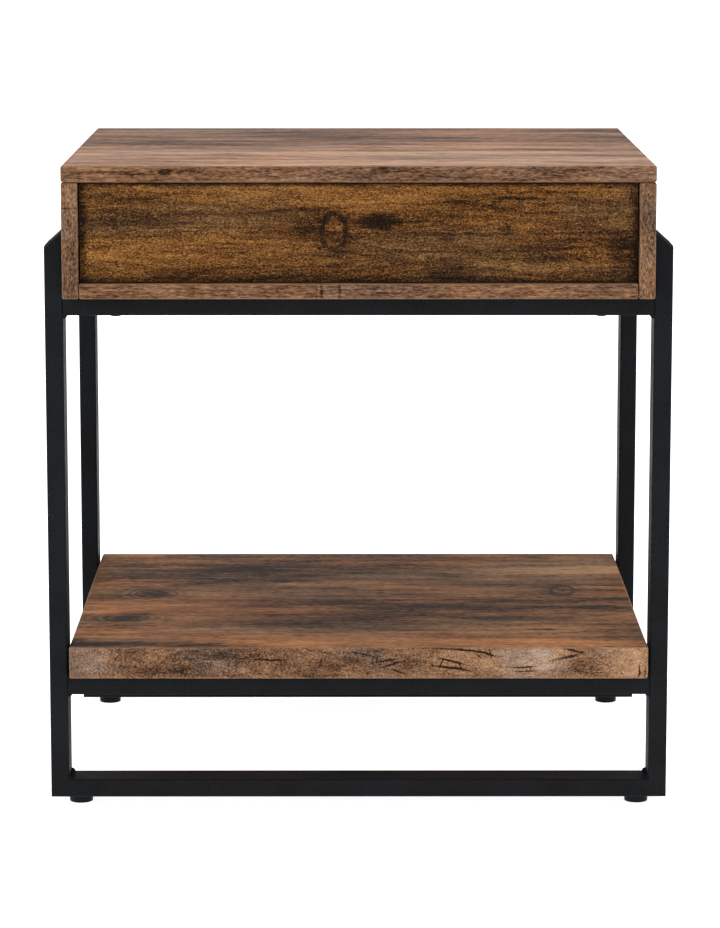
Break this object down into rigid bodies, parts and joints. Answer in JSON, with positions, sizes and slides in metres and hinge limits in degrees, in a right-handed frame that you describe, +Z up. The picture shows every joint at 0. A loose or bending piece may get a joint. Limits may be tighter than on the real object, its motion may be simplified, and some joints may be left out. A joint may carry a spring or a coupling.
{
  "type": "side table with drawer",
  "caption": "Side table with a handle-free drawer in a wooden case and a thick lower shelf, held between two welded black tube frames on glide feet.",
  "frame": {"origin": "centre of the footprint on the floor, under the four glides", "axes": "+X to the right seen from the front, +Y to the back, +Z up; the drawer opens along -Y"},
  "size_m": [0.61, 0.508, 0.636],
  "materials": {
    "frame_powder_coat": "fine-textured satin black powder coat",
    "glide_plastic": "moulded black polyethylene",
    "tabletop_wood": "rustic brown printed woodgrain foil on board, matt",
    "case_wood": "rustic brown printed woodgrain foil on board, matt",
    "drawer_front_wood": "darker golden brown printed woodgrain foil, matt",
    "shelf_wood": "rustic brown printed woodgrain foil on thick board, matt",
    "drawer_box_wood": "plain light brown melamine on board",
    "beech_dowel": "fluted beech",
    "zinc_steel": "bright zinc plate",
    "black_bolt_steel": "black oxide",
    "latch_plastic": "moulded grey acetal",
    "ball_steel": "polished bearing steel"
  },
  "bodies": {
    "table": {"back_panel": "case_wood", "back_panel_screws": "zinc_steel", "bottom_panel": "case_wood", "box_bolts": "black_bolt_steel", "box_insert_nuts": "zinc_steel", "case_cam_bolts": "zinc_steel", "case_cam_locks": "zinc_steel", "case_dowels": "beech_dowel", "front_box_rail": "frame_powder_coat", "front_foot_rail": "frame_powder_coat", "front_left_glide": "glide_plastic", "front_left_leg": "frame_powder_coat", "front_left_leg_cap": "frame_powder_coat", "front_right_glide": "glide_plastic", "front_right_leg": "frame_powder_coat", "front_right_leg_cap": "frame_powder_coat", "front_shelf_rail": "frame_powder_coat", "latch_body": "latch_plastic", "latch_screws": "zinc_steel", "latch_spring": "zinc_steel", "left_runner_rail": "zinc_steel", "left_side_panel": "case_wood", "rear_box_rail": "frame_powder_coat", "rear_foot_rail": "frame_powder_coat", "rear_left_glide": "glide_plastic", "rear_left_leg": "frame_powder_coat", "rear_left_leg_cap": "frame_powder_coat", "rear_right_glide": "glide_plastic", "rear_right_leg": "frame_powder_coat", "rear_right_leg_cap": "frame_powder_coat", "rear_shelf_rail": "frame_powder_coat", "right_runner_rail": "zinc_steel", "right_side_panel": "case_wood", "runner_screws": "zinc_steel", "shelf": "shelf_wood", "shelf_bolts": "black_bolt_steel", "shelf_insert_nuts": "zinc_steel", "top_panel": "tabletop_wood", "weld_beads": "frame_powder_coat"},
    "drawer": {"drawer_back": "drawer_box_wood", "drawer_bottom": "drawer_box_wood", "drawer_cam_bolts": "zinc_steel", "drawer_cam_locks": "zinc_steel", "drawer_front": "drawer_front_wood", "drawer_left_side": "drawer_box_wood", "drawer_right_side": "drawer_box_wood", "drawer_screws": "zinc_steel", "latch_strike": "zinc_steel", "left_runner_slide": "zinc_steel", "right_runner_slide": "zinc_steel", "slide_screws": "zinc_steel", "strike_screws": "zinc_steel"},
    "left_cage": {"left_ball_cage": "zinc_steel", "left_runner_balls": "ball_steel"},
    "right_cage": {"right_ball_cage": "zinc_steel", "right_runner_balls": "ball_steel"},
    "latch_plunger": {"latch_plunger": "latch_plastic"}
  },
  "joints": [
    {"name": "drawer_slide", "type": "slide", "parent": "table", "child": "drawer", "axis": [0, -1, 0], "range_m": [0, 0.3]},
    {"name": "left_cage_slide", "type": "slide", "parent": "table", "child": "left_cage", "axis": [0, -1, 0], "range_m": [0, 0.15]},
    {"name": "right_cage_slide", "type": "slide", "parent": "table", "child": "right_cage", "axis": [0, -1, 0], "range_m": [0, 0.15]},
    {"name": "latch_plunger_slide", "type": "slide", "parent": "table", "child": "latch_plunger", "axis": [0, 1, 0], "range_m": [0, 0.004], "stiffness_N_per_m": 200}
  ],
  "couplings": [
    {"joint": "left_cage_slide", "follows": "drawer_slide", "ratio": 0.5},
    {"joint": "right_cage_slide", "follows": "drawer_slide", "ratio": 0.5}
  ]
}
